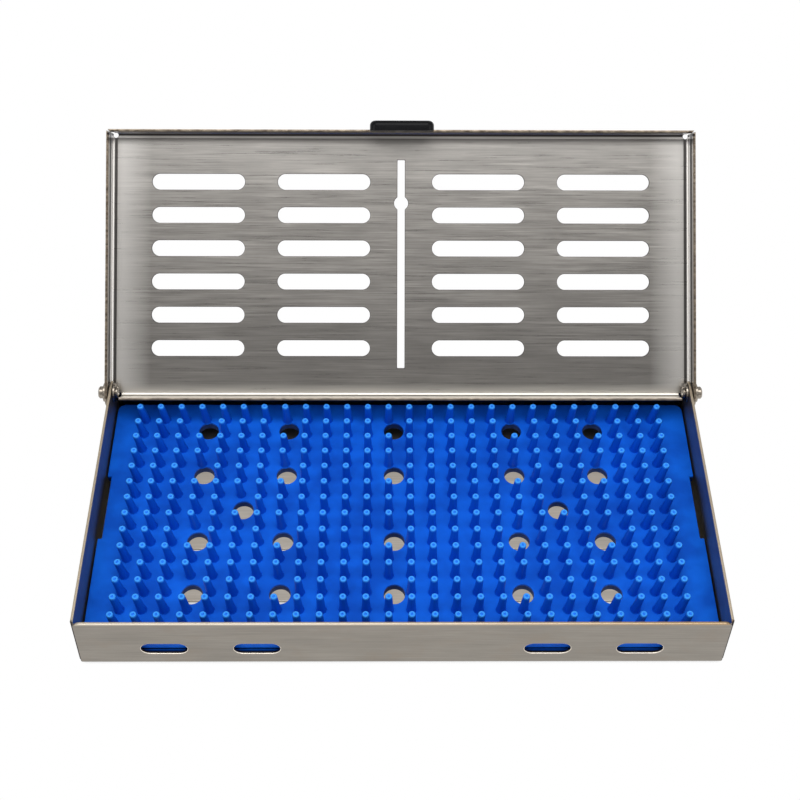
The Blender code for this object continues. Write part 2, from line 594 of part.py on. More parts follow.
LID_PIVOT = bpy.data.objects.new("lid_pivot", None)
PARTS.objects.link(LID_PIVOT)
LID_PIVOT.location = PIVOT
LID_PIVOT.rotation_euler = (-LID_OPEN_ANGLE, 0, 0)

make_tray()
make_mat()
make_lid(LID_PIVOT)
make_latch(LID_PIVOT)
for SIDE_NAME, SIDE in (("left", -1), ("right", 1)):
    make_rivet(SIDE_NAME, SIDE)
bpy.context.view_layer.update()
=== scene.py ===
import math

import bmesh
import bpy
from mathutils import Matrix, Vector


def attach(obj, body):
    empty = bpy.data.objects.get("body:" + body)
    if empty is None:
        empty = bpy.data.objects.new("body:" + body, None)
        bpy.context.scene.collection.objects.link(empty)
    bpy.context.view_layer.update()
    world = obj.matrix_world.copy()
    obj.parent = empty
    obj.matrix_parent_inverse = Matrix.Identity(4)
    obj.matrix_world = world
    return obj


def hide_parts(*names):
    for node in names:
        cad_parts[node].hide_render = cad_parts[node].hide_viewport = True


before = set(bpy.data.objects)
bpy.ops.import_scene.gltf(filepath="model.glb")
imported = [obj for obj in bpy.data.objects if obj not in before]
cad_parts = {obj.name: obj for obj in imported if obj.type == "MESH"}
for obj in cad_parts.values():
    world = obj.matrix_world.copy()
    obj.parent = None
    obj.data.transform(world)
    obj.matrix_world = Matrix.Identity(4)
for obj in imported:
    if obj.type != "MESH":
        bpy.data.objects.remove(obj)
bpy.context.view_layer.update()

MM = 0.001

# Sheet and clearances
SHEET = 0.8 * MM
TRAY_BEND_RADIUS = 1.2 * MM
LID_BEND_RADIUS = 1.6 * MM
FIT_GAP = 0.3 * MM
OVERRUN = 3.0 * MM

# Tray
TRAY_HALF_WIDTH = 90.0 * MM
TRAY_HALF_DEPTH = 42.0 * MM
TRAY_HEIGHT = 21.0 * MM
FRONT_SEAM_WIDTH = 0.5 * MM
FRONT_WALL_CORNER = 2.2 * MM
FRONT_FOOT_CORNER = 1.3 * MM
REAR_SEAM_WIDTH = 1.5 * MM
REAR_SEAM_FOOT = 4.0 * MM
SIDE_REAR_RADIUS = 3.0 * MM
FRONT_SLOT_LENGTH = 12.8 * MM
FRONT_SLOT_WIDTH = 5.2 * MM
FRONT_SLOT_SIDE_MARGIN = 17.9 * MM
FRONT_SLOT_STEP = 25.6 * MM
FRONT_SLOT_HEIGHT = 7.9 * MM

# Slots of the lid's panel, whose columns the tray's floor repeats
SLOT_WIDTH = 4.95 * MM
SLOT_SIDE_MARGIN = 13.2 * MM
SLOT_PAIR_GAP = 10.3 * MM
SLOT_FROM_MIDDLE = 9.7 * MM
LID_SLOT_ROWS = 6
LID_SLOT_END_MARGIN = 15.85 * MM
LID_SLOT_REAR_SHIFT = 0.35 * MM
CENTRE_SLOT_END_MARGIN = 9.3 * MM
CENTRE_SLOT_WIDTH = 2.3 * MM
KEYHOLE_DIAMETER = 4.4 * MM
KEYHOLE_FROM_MIDDLE = 19.0 * MM

# Lid and hinge
PIVOT_FROM_REAR = 3.6 * MM
PIVOT = Vector((0, TRAY_HALF_DEPTH - PIVOT_FROM_REAR, 18.0 * MM))
LID_OPEN_ANGLE = math.radians(134.5)
LID_HALF_WIDTH = TRAY_HALF_WIDTH + FIT_GAP + SHEET
LID_TOP = 4.1 * MM
LID_TAIL = 2.2 * MM
LID_FRONT = -(PIVOT.y + TRAY_HALF_DEPTH + FIT_GAP + SHEET)
LID_LENGTH = LID_TAIL - LID_FRONT
LID_MIDDLE = (LID_TAIL + LID_FRONT) / 2
LID_FLANGE_DEPTH = 8.5 * MM
LID_RELIEF_DIAMETER = 1.6 * MM
LID_RELIEF_INSET = 1.7 * MM
LID_CORNER_SLIT = 0.5 * MM
HINGE_SLIT_END_GAP = 0.6 * MM
HINGE_SLIT_INNER_GAP = 0.4 * MM
HINGE_FLANGE_END_GAP = 2.0 * MM
RIVET_SHANK_DIAMETER = 2.2 * MM

# Latch
LATCH_TONGUE_WIDTH = 17.0 * MM
LATCH_TONGUE_THICKNESS = 0.5 * MM
LATCH_TONGUE_FOOT = 3.2 * MM
LATCH_GRIP_WIDTH = 19.4 * MM
LATCH_GRIP_FOOT = 1.6 * MM
LATCH_GRIP_INNER_WALL = 0.7 * MM
LATCH_GRIP_OUTER_WALL = 1.3 * MM
LATCH_GRIP_SIDE_ROUND = 1.5 * MM
LATCH_GRIP_CORNER = 2.4 * MM
LATCH_GRIP_WALL_GAP = 0.45 * MM

# Silicone mat
MAT_GAP = 0.5 * MM
MAT_HALF_WIDTH = TRAY_HALF_WIDTH - SHEET - MAT_GAP
MAT_HALF_DEPTH = TRAY_HALF_DEPTH - SHEET - MAT_GAP
MAT_TOP = 8.8 * MM
MAT_THICKNESS = 2.8 * MM
MAT_CORNER = 2.4 * MM
NOTCH_LENGTH = 21.5 * MM
NOTCH_DEPTH = 1.2 * MM
NOTCH_MIDDLE = 3.1 * MM
STUD_DIAMETER = 4.0 * MM
STUD_FOOT = SHEET + FIT_GAP
STUD_END_MARGIN = 6.7 * MM
STUD_FROM_MIDDLE = 22.0 * MM
STUD_EDGE_MARGIN = 4.0 * MM
FRONT_LIP_FOOT = 2.2 * MM
FRONT_LIP_THICKNESS = 1.5 * MM

# Pins and drain holes
PIN_COLUMNS = 26
PIN_ROWS = 14
PIN_MARGIN_LEFT = 9.35 * MM
PIN_MARGIN_RIGHT = 10.55 * MM
PIN_MARGIN_FRONT = 4.6 * MM
PIN_MARGIN_REAR = 6.1 * MM
PIN_STEP_X = (2 * MAT_HALF_WIDTH - PIN_MARGIN_LEFT - PIN_MARGIN_RIGHT) / (PIN_COLUMNS - 1)
PIN_STEP_Y = (2 * MAT_HALF_DEPTH - PIN_MARGIN_FRONT - PIN_MARGIN_REAR) / (PIN_ROWS - 1)
PIN_GRID_X = (PIN_MARGIN_LEFT - PIN_MARGIN_RIGHT) / 2
PIN_GRID_Y = (PIN_MARGIN_FRONT - PIN_MARGIN_REAR) / 2
PIN_HEIGHT = 7.3 * MM
PIN_SPLAY = 0.016
PIN_FOOT_RADIUS = 1.3 * MM
PIN_TIP_RADIUS = 1.0 * MM
PIN_SIDES = 12
DRAIN_DIAMETER = 6.1 * MM
DRAIN_ROW_SHARES = (5.75, 2.75, -1.45, -4.6)
DRAIN_COLUMN_SHARES = (-9.35, -5.4, -0.25, 5.55, 9.55)
MIDDLE_DRAIN_ROW_SHARE = 0.5
MIDDLE_DRAIN_COLUMN_SHARES = (-7.35, 7.5)

# Smoothness of the sheet work, and of the mat's and the grip's edges
BEND_SEGMENTS = 8
SLOT_SEGMENTS = 32
ROUND_SEGMENTS = 40
SMALL_ROUND_SEGMENTS = 24
SHEET_EDGE_ROUND = 0.2 * MM
GRIP_EDGE_ROUND = 0.2 * MM
MAT_EDGE_ROUND = 0.22 * MM
MERGE_DISTANCE = 0.004 * MM

# Tones of the steel, with painted highlights for rims, bends, slot edges and the lid's panel, and painted
# shade for seams, creases, the front wall's foot and the panel's hinge end
TRAY_TONE = (0.345, 0.315, 0.275)
LID_TONE = (0.46, 0.435, 0.405)
LID_SHADE_TONE = tuple(0.35 * part for part in LID_TONE)
PANEL_HIGHLIGHT_TONE = (0.88, 0.85, 0.81)
HINGE_BEND_HIGHLIGHT_TONE = (0.60, 0.57, 0.52)
BEND_HIGHLIGHT_TONE = (0.90, 0.88, 0.85)
CREASE_SHADE_TONE = (0.022, 0.018, 0.018)
CUT_DARK_TONE = (0.10, 0.075, 0.055)
CUT_PALE_TONE = (0.36, 0.30, 0.23)
STAIN_TONE = (0.30, 0.25, 0.20)
STRAW_TINT_AND_HIGHLIGHT_TONE = (0.60, 0.50, 0.37)
RIM_LEFT_HIGHLIGHT_TONE = (0.64, 0.57, 0.47)
RIM_RIGHT_TONE = (0.46, 0.32, 0.18)
SEAM_SHADE_TONE = (0.02, 0.012, 0.01)
FOOT_SHADE_TONE = (0.10, 0.085, 0.07)
SLOT_HIGHLIGHT_TONE = (0.92, 0.84, 0.72)
SLOT_WALL_SHADE_TONE = (0.06, 0.045, 0.03)
RIVET_DARK_TONE = (0.22, 0.19, 0.16)
RIVET_PALE_TONE = (0.48, 0.43, 0.36)
RIVET_GRIME_TONE = (0.10, 0.08, 0.06)

# Tones of the silicone and the rubber, with painted shade for the mat's underside and the pins' shafts and a
# painted highlight for the pins' tips
MAT_TONE = (0.005, 0.135, 0.76)
MAT_DEEP_TONE = (0.003, 0.085, 0.56)
MAT_UNDER_SHADE_TONE = (0.001, 0.006, 0.04)
SHAFT_SHADE_TONE = (0.001, 0.06, 0.50)
TIP_HIGHLIGHT_TONE = (0.045, 0.31, 0.92)
MAT_SHEEN_TONE = (0.25, 0.6, 1.0, 1)
RUBBER_DARK_TONE = (0.003, 0.003, 0.004)
RUBBER_PALE_TONE = (0.006, 0.006, 0.007)

# Where the tray's finish changes: depths below its rim, heights over its foot, depths behind its front
RIM_FADE = (0.75 * MM, 0.35 * MM)
FOOT_SHADE_FADE = (0.35 * MM, 0.9 * MM)
SEAM_FADE = (0.75 * MM, 0.6 * MM)
SLOT_ZONE_HEIGHTS = (4.0 * MM, 12.0 * MM)
SLOT_ZONE_MARGIN = 2.0 * MM
SLOT_HIGHLIGHT_DEPTHS = (0.02 * MM, 0.16 * MM)
SLOT_WALL_DEPTH = 0.25 * MM

# Where the lid's finish changes: along the panel, and inward from its front and its sides
PANEL_SHADE_FADE = (-42 * MM, -10 * MM)
PANEL_HIGHLIGHT_FADE = (4 * MM, 26 * MM)
PANEL_END_HIGHLIGHT_FADE = (13 * MM, 3 * MM)
HINGE_BEND_HIGHLIGHT_FADE = (-2.4 * MM, 0.2 * MM)
HINGE_CUT_FADE = (1.0 * MM, 1.1 * MM)
BEND_ZONE_FADE = (2.6 * MM, 2.5 * MM)
BEND_HIGHLIGHT_HEIGHTS = (0.9 * MM, 2.5 * MM)
BEND_CREASE_HEIGHTS = (-2.2 * MM, 0.5 * MM)
SIDE_CREASE_PLACES = (2.25 * MM, 1.45 * MM)
FRONT_CREASE_PLACES = (1.1 * MM, 1.75 * MM)
FRONT_SHADE_PLACES = (2.4 * MM, 2.6 * MM, 2.8 * MM, 4.6 * MM)
CUT_EDGE_FADE = (0.25 * MM, 0.5 * MM)
HINGE_EDGE_FADE = (0.2 * MM, 0.5 * MM)
PUNCHED_EDGES = (0.03 * MM, 0.1 * MM)

# Where the mat's finish changes: heights over its plate, depths below the pins' tips and the plate's top
SHAFT_SHADE_FADE = (0.25 * MM, 0.9 * MM)
TIP_HIGHLIGHT_FADE = (0.6 * MM, 0.1 * MM)
UNDER_SHADE_FADE = (0.9 * MM, 0.25 * MM)
MAT_FRONT_FADE = (0.1 * MM, 0.4 * MM)

# The photograph's camera, found from the tray's rim, the pins and the lid
PHOTO_PIXELS = 800
FOCAL_PIXELS = 1503.3
LENS_SHIFT_PIXELS = (0.6, 148.2 - PHOTO_PIXELS / 2)
SENSOR_WIDTH = 36
CAMERA_PITCH = math.radians(43.12)
CAMERA_YAW = math.radians(0.841)
CAMERA_ROLL = math.radians(0.711)
CAMERA_PLACE = Vector((-5.63, -250.47, 392.47)) * MM

# Studio
FLOOR_HALF_SIZE = 3.0
FLOOR_DROP = 0.05 * MM
CONTACT_SHADOW_REACH = 12.0 * MM
WORLD_STRENGTH = 0.5
BACKGROUND_STRENGTH = 1.0
MIRRORED_FLOOR_SHARE = 0.75
UNDER_MAT_PLACE = (0, -4.0 * MM, 5.7 * MM)
UNDER_MAT_TARGET = (0, -4.0 * MM, 0)

# The low back wall's top, at the height where the open lid rests on its inner edge
BACK_WALL_HEIGHT = PIVOT.z + ((LID_TOP + FIT_GAP - (PIVOT_FROM_REAR - SHEET) * math.sin(LID_OPEN_ANGLE))
                              / math.cos(LID_OPEN_ANGLE))

# The side walls' rear edges cross the open lid's panel this far from the hinge axis
WALL_CROSSING = ((LID_TOP - SHEET) * math.sin(LID_OPEN_ANGLE) - PIVOT_FROM_REAR) / math.cos(LID_OPEN_ANGLE)
HINGE_SLIT_LENGTH = LID_TAIL + WALL_CROSSING + HINGE_SLIT_END_GAP

# The hinge flange clears the tips of the rear row of pins
REAR_PIN_EDGE = MAT_HALF_DEPTH - PIN_MARGIN_REAR + PIN_TIP_RADIUS
FLANGE_SWING = math.hypot(PIVOT.y - REAR_PIN_EDGE, PIVOT.z - MAT_TOP - PIN_HEIGHT) - FIT_GAP
LID_HINGE_FLANGE_DEPTH = LID_TOP + math.sqrt(FLANGE_SWING ** 2 - LID_TAIL ** 2)

# From the closed lid's axes about the hinge to its open place
OPEN_PLACE = Matrix.Translation(PIVOT) @ Matrix.Rotation(-LID_OPEN_ANGLE, 4, "X")


def box(bm, low, high):
    low, high = Vector(low), Vector(high)
    place = Matrix.Translation((low + high) / 2) @ Matrix.Diagonal((*(high - low), 1))
    return bmesh.ops.create_cube(bm, size=1, matrix=place)["verts"]


def cylinder(bm, center, axis, diameter, length, sides=ROUND_SEGMENTS):
    turn = {"X": Matrix.Rotation(math.pi / 2, 4, "Y"),
            "Y": Matrix.Rotation(-math.pi / 2, 4, "X"),
            "Z": Matrix.Identity(4)}[axis]
    return bmesh.ops.create_cone(bm, cap_ends=True, segments=sides, radius1=diameter / 2,
                                 radius2=diameter / 2, depth=length,
                                 matrix=Matrix.Translation(center) @ turn)["verts"]


def obround(bm, center, axis, length, width, thickness):
    """A slot shape along X: a prism whose two halves are drawn apart."""
    half_step = math.pi / SLOT_SEGMENTS
    place = Matrix.Identity(4) if axis == "Z" else Matrix.Rotation(-math.pi / 2, 4, "X")
    radius = width / 2 / math.cos(half_step)
    verts = bmesh.ops.create_cone(bm, cap_ends=True, segments=SLOT_SEGMENTS, radius1=radius,
                                  radius2=radius, depth=thickness,
                                  matrix=place @ Matrix.Rotation(half_step, 4, "Z"))["verts"]
    for vert in verts:
        vert.co.x += math.copysign((length - width) / 2, vert.co.x)
        vert.co += Vector(center)


def edges_where(bm, test):
    return [edge for edge in bm.edges if test(*(vert.co for vert in edge.verts))]


def bevel_edges(bm, edges, width, segments):
    bmesh.ops.bevel(bm, geom=edges, affect="EDGES", offset=width, segments=segments, profile=0.5,
                    clamp_overlap=True, material=-1)


def make_piece(name, bm, material):
    bmesh.ops.recalc_face_normals(bm, faces=bm.faces)
    mesh = bpy.data.meshes.new(name)
    bm.to_mesh(mesh)
    bm.free()
    mesh.materials.append(material)
    piece = bpy.data.objects.new(name, mesh)
    bpy.context.scene.collection.objects.link(piece)
    return piece


def settle(piece):
    """Applies a piece's modifiers."""
    bpy.context.view_layer.update()
    graph = bpy.context.evaluated_depsgraph_get()
    mesh = bpy.data.meshes.new_from_object(piece.evaluated_get(graph), depsgraph=graph)
    old = piece.data
    piece.modifiers.clear()
    piece.data = mesh
    bpy.data.meshes.remove(old)


def combine(piece, other_bm, operation="DIFFERENCE"):
    """Cuts a shape out of a piece, or joins it on, and leaves a plain mesh."""
    other = make_piece(piece.name + "_tool", other_bm, piece.data.materials[0])
    modifier = piece.modifiers.new("shape", "BOOLEAN")
    modifier.operation = operation
    modifier.solver = "EXACT"
    modifier.object = other
    settle(piece)
    bpy.data.objects.remove(other, do_unlink=True)


def take_away(piece, tool):
    """Cuts one piece out of another and deletes it."""
    shape = bmesh.new()
    shape.from_mesh(tool.data)
    bpy.data.objects.remove(tool, do_unlink=True)
    combine(piece, shape)


def round_off(piece, width, segments=2, angle=40):
    modifier = piece.modifiers.new("soft_edges", "BEVEL")
    modifier.width = width
    modifier.segments = segments
    modifier.limit_method = "ANGLE"
    modifier.angle_limit = math.radians(angle)
    modifier.use_clamp_overlap = False
    settle(piece)


def clean(piece):
    """Merges the doubled points and the needle edges that the cuts leave."""
    bm = bmesh.new()
    bm.from_mesh(piece.data)
    bmesh.ops.remove_doubles(bm, verts=bm.verts, dist=MERGE_DISTANCE)
    bmesh.ops.dissolve_degenerate(bm, edges=bm.edges, dist=MERGE_DISTANCE)
    bmesh.ops.dissolve_limit(bm, angle_limit=math.radians(0.5), verts=bm.verts, edges=bm.edges)
    bm.to_mesh(piece.data)
    bm.free()


def shade(piece, angle=35):
    """Smooth shading in which the large flat faces stay flat."""
    piece.data.shade_smooth()
    piece.data.set_sharp_from_angle(angle=math.radians(angle))
    modifier = piece.modifiers.new("flat_faces", "WEIGHTED_NORMAL")
    modifier.mode = "FACE_AREA"
    modifier.weight = 100
    modifier.keep_sharp = True
    settle(piece)


def place_open(piece):
    """Turns a lid piece, drawn closed about the hinge, to its open place."""
    piece.data.transform(OPEN_PLACE)


def folded_sheet(name, low, high, open_up, bend_radius, material):
    """A pan folded from sheet: a box open above or below, with bent edges round its flat."""
    bm = bmesh.new()
    box(bm, low, high)
    open_z, flat_z = (high[2], low[2]) if open_up else (low[2], high[2])
    tall = high[2] - low[2]
    is_open = [face for face in bm.faces if abs(face.calc_center_median().z - open_z) < tall / 4]
    bmesh.ops.delete(bm, geom=is_open, context="FACES")
    flat = edges_where(bm, lambda a, b: abs(a.z - flat_z) < tall / 4 and abs(b.z - flat_z) < tall / 4)
    bevel_edges(bm, flat, bend_radius, BEND_SEGMENTS)
    piece = make_piece(name, bm, material)
    modifier = piece.modifiers.new("sheet", "SOLIDIFY")
    modifier.thickness = SHEET
    modifier.offset = -1
    modifier.use_even_offset = True
    settle(piece)
    return piece


def panel_slots(bm, rows, center_y, z):
    """Rows of four slots through a flat sheet at height z."""
    length = (LID_HALF_WIDTH - SLOT_SIDE_MARGIN - SLOT_PAIR_GAP - SLOT_FROM_MIDDLE) / 2
    inner_middle = SLOT_FROM_MIDDLE + length / 2
    outer_middle = inner_middle + length + SLOT_PAIR_GAP
    for y in rows:
        for x in (-outer_middle, -inner_middle, inner_middle, outer_middle):
            obround(bm, (x, center_y + y, z), "Z", length, SLOT_WIDTH, 2 * OVERRUN)


def pin_place(column_share, row_share):
    """A point of the pin grid, in steps from its middle."""
    return (PIN_GRID_X + column_share * PIN_STEP_X, PIN_GRID_Y + row_share * PIN_STEP_Y)


def drain_rows():
    return [pin_place(0, share)[1] for share in DRAIN_ROW_SHARES]


def drain_places():
    places = [pin_place(c, r) for r in DRAIN_ROW_SHARES for c in DRAIN_COLUMN_SHARES]
    return places + [pin_place(c, MIDDLE_DRAIN_ROW_SHARE) for c in MIDDLE_DRAIN_COLUMN_SHARES]


def round_wall_corners(tray, at_top, radius, segments):
    """Rounds the front wall's two upper or its two lower corners."""
    wall_half = TRAY_HALF_WIDTH - FRONT_SEAM_WIDTH
    wall_back = -TRAY_HALF_DEPTH + SHEET
    low, high = (TRAY_HEIGHT - radius, TRAY_HEIGHT + OVERRUN) if at_top else (-OVERRUN, radius)
    ends = bmesh.new()
    box(ends, (-wall_half - OVERRUN, -TRAY_HALF_DEPTH - OVERRUN, low),
        (wall_half + OVERRUN, wall_back, high))
    kept = bmesh.new()
    box(kept, (-wall_half, -TRAY_HALF_DEPTH - 2 * OVERRUN, 0), (wall_half, wall_back + OVERRUN, TRAY_HEIGHT))
    corners = edges_where(kept, lambda a, b: (a.x == b.x and a.z == b.z
                                              and (a.z > TRAY_HEIGHT / 2) == at_top))
    bevel_edges(kept, corners, radius, segments)
    corner_tool = make_piece("corner_tool", ends, tray.data.materials[0])
    combine(corner_tool, kept)
    take_away(tray, corner_tool)


def make_tray(material):
    tray = folded_sheet("tray_sheet", (-TRAY_HALF_WIDTH, -TRAY_HALF_DEPTH, 0),
                        (TRAY_HALF_WIDTH, TRAY_HALF_DEPTH, TRAY_HEIGHT), True, TRAY_BEND_RADIUS, material)

    # The front wall's slots, and the floor's under the mat's drain rows
    slots = bmesh.new()
    outer_slot = TRAY_HALF_WIDTH - FRONT_SLOT_SIDE_MARGIN - FRONT_SLOT_LENGTH / 2
    for side in (-1, 1):
        for x in (side * outer_slot, side * (outer_slot - FRONT_SLOT_STEP)):
            obround(slots, (x, -TRAY_HALF_DEPTH, FRONT_SLOT_HEIGHT), "Y", FRONT_SLOT_LENGTH,
                    FRONT_SLOT_WIDTH, 2 * OVERRUN)
    panel_slots(slots, drain_rows(), 0, SHEET / 2)
    combine(tray, slots)

    # The front wall stands between open seams, with rounded corners
    seams = bmesh.new()
    for side in (-1, 1):
        near, far = sorted((side * (TRAY_HALF_WIDTH - FRONT_SEAM_WIDTH), side * (TRAY_HALF_WIDTH + OVERRUN)))
        box(seams, (near, -TRAY_HALF_DEPTH - OVERRUN, -OVERRUN),
            (far, -TRAY_HALF_DEPTH + SHEET, TRAY_HEIGHT + OVERRUN))
    combine(tray, seams)
    round_wall_corners(tray, True, FRONT_WALL_CORNER, 12)
    round_wall_corners(tray, False, FRONT_FOOT_CORNER, 8)

    # The low back wall, open seams beside it, and the side walls' rounded rear corners
    inner = TRAY_HALF_WIDTH - SHEET
    wall_front = TRAY_HALF_DEPTH - SHEET
    back = bmesh.new()
    box(back, (-inner, wall_front - OVERRUN, BACK_WALL_HEIGHT),
        (inner, TRAY_HALF_DEPTH + OVERRUN, TRAY_HEIGHT + OVERRUN))
    combine(tray, back)
    rear_seams = bmesh.new()
    for side in (-1, 1):
        near, far = sorted((side * inner, side * (inner - REAR_SEAM_WIDTH)))
        box(rear_seams, (near, wall_front - SHEET, REAR_SEAM_FOOT),
            (far, TRAY_HALF_DEPTH + OVERRUN, TRAY_HEIGHT))
    combine(tray, rear_seams)
    corner_y, corner_z = TRAY_HALF_DEPTH - SIDE_REAR_RADIUS, TRAY_HEIGHT - SIDE_REAR_RADIUS
    corner = bmesh.new()
    box(corner, (-2 * TRAY_HALF_WIDTH, corner_y, corner_z),
        (2 * TRAY_HALF_WIDTH, TRAY_HALF_DEPTH + OVERRUN, TRAY_HEIGHT + OVERRUN))
    rounding = bmesh.new()
    cylinder(rounding, (0, corner_y, corner_z), "X", 2 * SIDE_REAR_RADIUS, 6 * TRAY_HALF_WIDTH,
             2 * ROUND_SEGMENTS)
    rear_tool = make_piece("rear_tool", corner, material)
    combine(rear_tool, rounding)
    take_away(tray, rear_tool)

    holes = bmesh.new()
    cylinder(holes, PIVOT, "X", RIVET_SHANK_DIAMETER + 2 * FIT_GAP, 2 * (TRAY_HALF_WIDTH + OVERRUN))
    combine(tray, holes)
    soften_sheet(tray)

    # The edge rounding dips under the floor at the front wall's feet
    for vert in tray.data.vertices:
        vert.co.z = max(vert.co.z, 0)
    return tray


def soften_sheet(piece):
    clean(piece)
    round_off(piece, SHEET_EDGE_ROUND, 2, 50)
    shade(piece, 40)
    return piece


def make_lid(material):
    bottom = LID_TOP - LID_FLANGE_DEPTH
    lid = folded_sheet("lid_sheet", (-LID_HALF_WIDTH, LID_FRONT, bottom),
                       (LID_HALF_WIDTH, LID_TAIL, LID_TOP), False, LID_BEND_RADIUS, material)

    slots = bmesh.new()
    row_step = (LID_LENGTH - 2 * LID_SLOT_END_MARGIN) / (LID_SLOT_ROWS - 1)
    rows = [(row - (LID_SLOT_ROWS - 1) / 2) * row_step for row in range(LID_SLOT_ROWS)]
    panel_slots(slots, rows, LID_MIDDLE + LID_SLOT_REAR_SHIFT, LID_TOP)
    combine(lid, slots)
    centre = bmesh.new()
    box(centre, (-CENTRE_SLOT_WIDTH / 2, LID_FRONT + CENTRE_SLOT_END_MARGIN, LID_TOP - OVERRUN),
        (CENTRE_SLOT_WIDTH / 2, LID_TAIL - CENTRE_SLOT_END_MARGIN, LID_TOP + OVERRUN))
    combine(lid, centre)
    keyhole = bmesh.new()
    cylinder(keyhole, (0, LID_MIDDLE - KEYHOLE_FROM_MIDDLE, LID_TOP), "Z", KEYHOLE_DIAMETER, 2 * OVERRUN)
    combine(lid, keyhole)

    # A relief hole in each front corner, with the slit between the flanges' ends
    reliefs = bmesh.new()
    slits = bmesh.new()
    slit_reach = LID_RELIEF_INSET + OVERRUN
    for side in (-1, 1):
        x, y = side * (LID_HALF_WIDTH - LID_RELIEF_INSET), LID_FRONT + LID_RELIEF_INSET
        cylinder(reliefs, (x, y, LID_TOP), "Z", LID_RELIEF_DIAMETER, 2 * LID_FLANGE_DEPTH,
                 SMALL_ROUND_SEGMENTS)
        verts = box(slits, (-LID_CORNER_SLIT / 2, -slit_reach, -2 * LID_FLANGE_DEPTH),
                    (LID_CORNER_SLIT / 2, 0, OVERRUN))
        place = Matrix.Translation((x, y, LID_TOP)) @ Matrix.Rotation(side * math.pi / 4, 4, "Z")
        bmesh.ops.transform(slits, matrix=place, verts=verts)
    combine(lid, reliefs)
    combine(lid, slits)

    # The hinge flange is shallower, and its ends stop short of the rivets' inner heads
    inner = LID_HALF_WIDTH - SHEET
    shallow = bmesh.new()
    box(shallow, (-inner, LID_TAIL - LID_BEND_RADIUS, bottom - OVERRUN),
        (inner, LID_TAIL + OVERRUN, LID_TOP - LID_HINGE_FLANGE_DEPTH))
    combine(lid, shallow)
    flange_ends = bmesh.new()
    flange_end = TRAY_HALF_WIDTH - SHEET - HINGE_FLANGE_END_GAP
    for side in (-1, 1):
        near, far = sorted((side * flange_end, side * (LID_HALF_WIDTH + OVERRUN)))
        box(flange_ends, (near, LID_TAIL - LID_BEND_RADIUS, bottom - OVERRUN),
            (far, LID_TAIL + OVERRUN, LID_TOP + OVERRUN))
    combine(lid, flange_ends)

    # Slits that the tray's side walls enter, and the round ears
    ear_slits = bmesh.new()
    ear_room = bmesh.new()
    ears = bmesh.new()
    slit_inner = TRAY_HALF_WIDTH - SHEET - HINGE_SLIT_INNER_GAP
    for side in (-1, 1):
        near, far = sorted((side * slit_inner, side * inner))
        box(ear_slits, (near, LID_TAIL - HINGE_SLIT_LENGTH, bottom - OVERRUN),
            (far, LID_TAIL + OVERRUN, LID_TOP + OVERRUN))
        near, far = sorted((side * (inner - SHEET), side * (LID_HALF_WIDTH + OVERRUN)))
        box(ear_room, (near, 0, bottom - OVERRUN), (far, LID_TAIL + OVERRUN, LID_TOP + OVERRUN))
        cylinder(ears, (side * (inner + SHEET / 2), 0, LID_TOP - LID_FLANGE_DEPTH / 2), "X",
                 LID_FLANGE_DEPTH, SHEET, 2 * ROUND_SEGMENTS)
    combine(lid, ear_slits)
    combine(lid, ear_room)
    combine(lid, ears, "UNION")
    holes = bmesh.new()
    cylinder(holes, (0, 0, 0), "X", RIVET_SHANK_DIAMETER + 2 * FIT_GAP, 2 * (LID_HALF_WIDTH + OVERRUN))
    combine(lid, holes)
    soften_sheet(lid)
    place_open(lid)
    return lid


def make_grip(material):
    """The black sleeve over the latch tongue's end, drawn in the closed lid's axes."""
    floor = -PIVOT.z
    tongue_front = LID_FRONT - FIT_GAP - LATCH_TONGUE_THICKNESS
    back = -(PIVOT.y + TRAY_HALF_DEPTH) - LATCH_GRIP_WALL_GAP
    front = tongue_front - FIT_GAP - LATCH_GRIP_OUTER_WALL
    top = LID_TOP - LID_FLANGE_DEPTH - FIT_GAP
    half = LATCH_GRIP_WIDTH / 2
    bm = bmesh.new()
    box(bm, (-half, front, floor + LATCH_GRIP_FOOT), (half, back, top))
    foot_corners = edges_where(bm, lambda a, b: (abs(a.y - b.y) > (back - front) / 2
                                                 and a.z < (top + floor) / 2))
    bevel_edges(bm, foot_corners, LATCH_GRIP_CORNER, 8)
    outer = edges_where(bm, lambda a, b: max(a.y, b.y) < front + SHEET / 4)
    bevel_edges(bm, outer, LATCH_GRIP_SIDE_ROUND, 6)
    grip = make_piece("latch_sleeve", bm, material)
    pocket = bmesh.new()
    pocket_half = LATCH_TONGUE_WIDTH / 2 + FIT_GAP
    box(pocket, (-pocket_half, tongue_front - FIT_GAP, floor + LATCH_TONGUE_FOOT - FIT_GAP),
        (pocket_half, back - LATCH_GRIP_INNER_WALL, top + OVERRUN))
    combine(grip, pocket)
    clean(grip)
    round_off(grip, GRIP_EDGE_ROUND, 2, 50)
    shade(grip, 40)
    place_open(grip)
    return grip


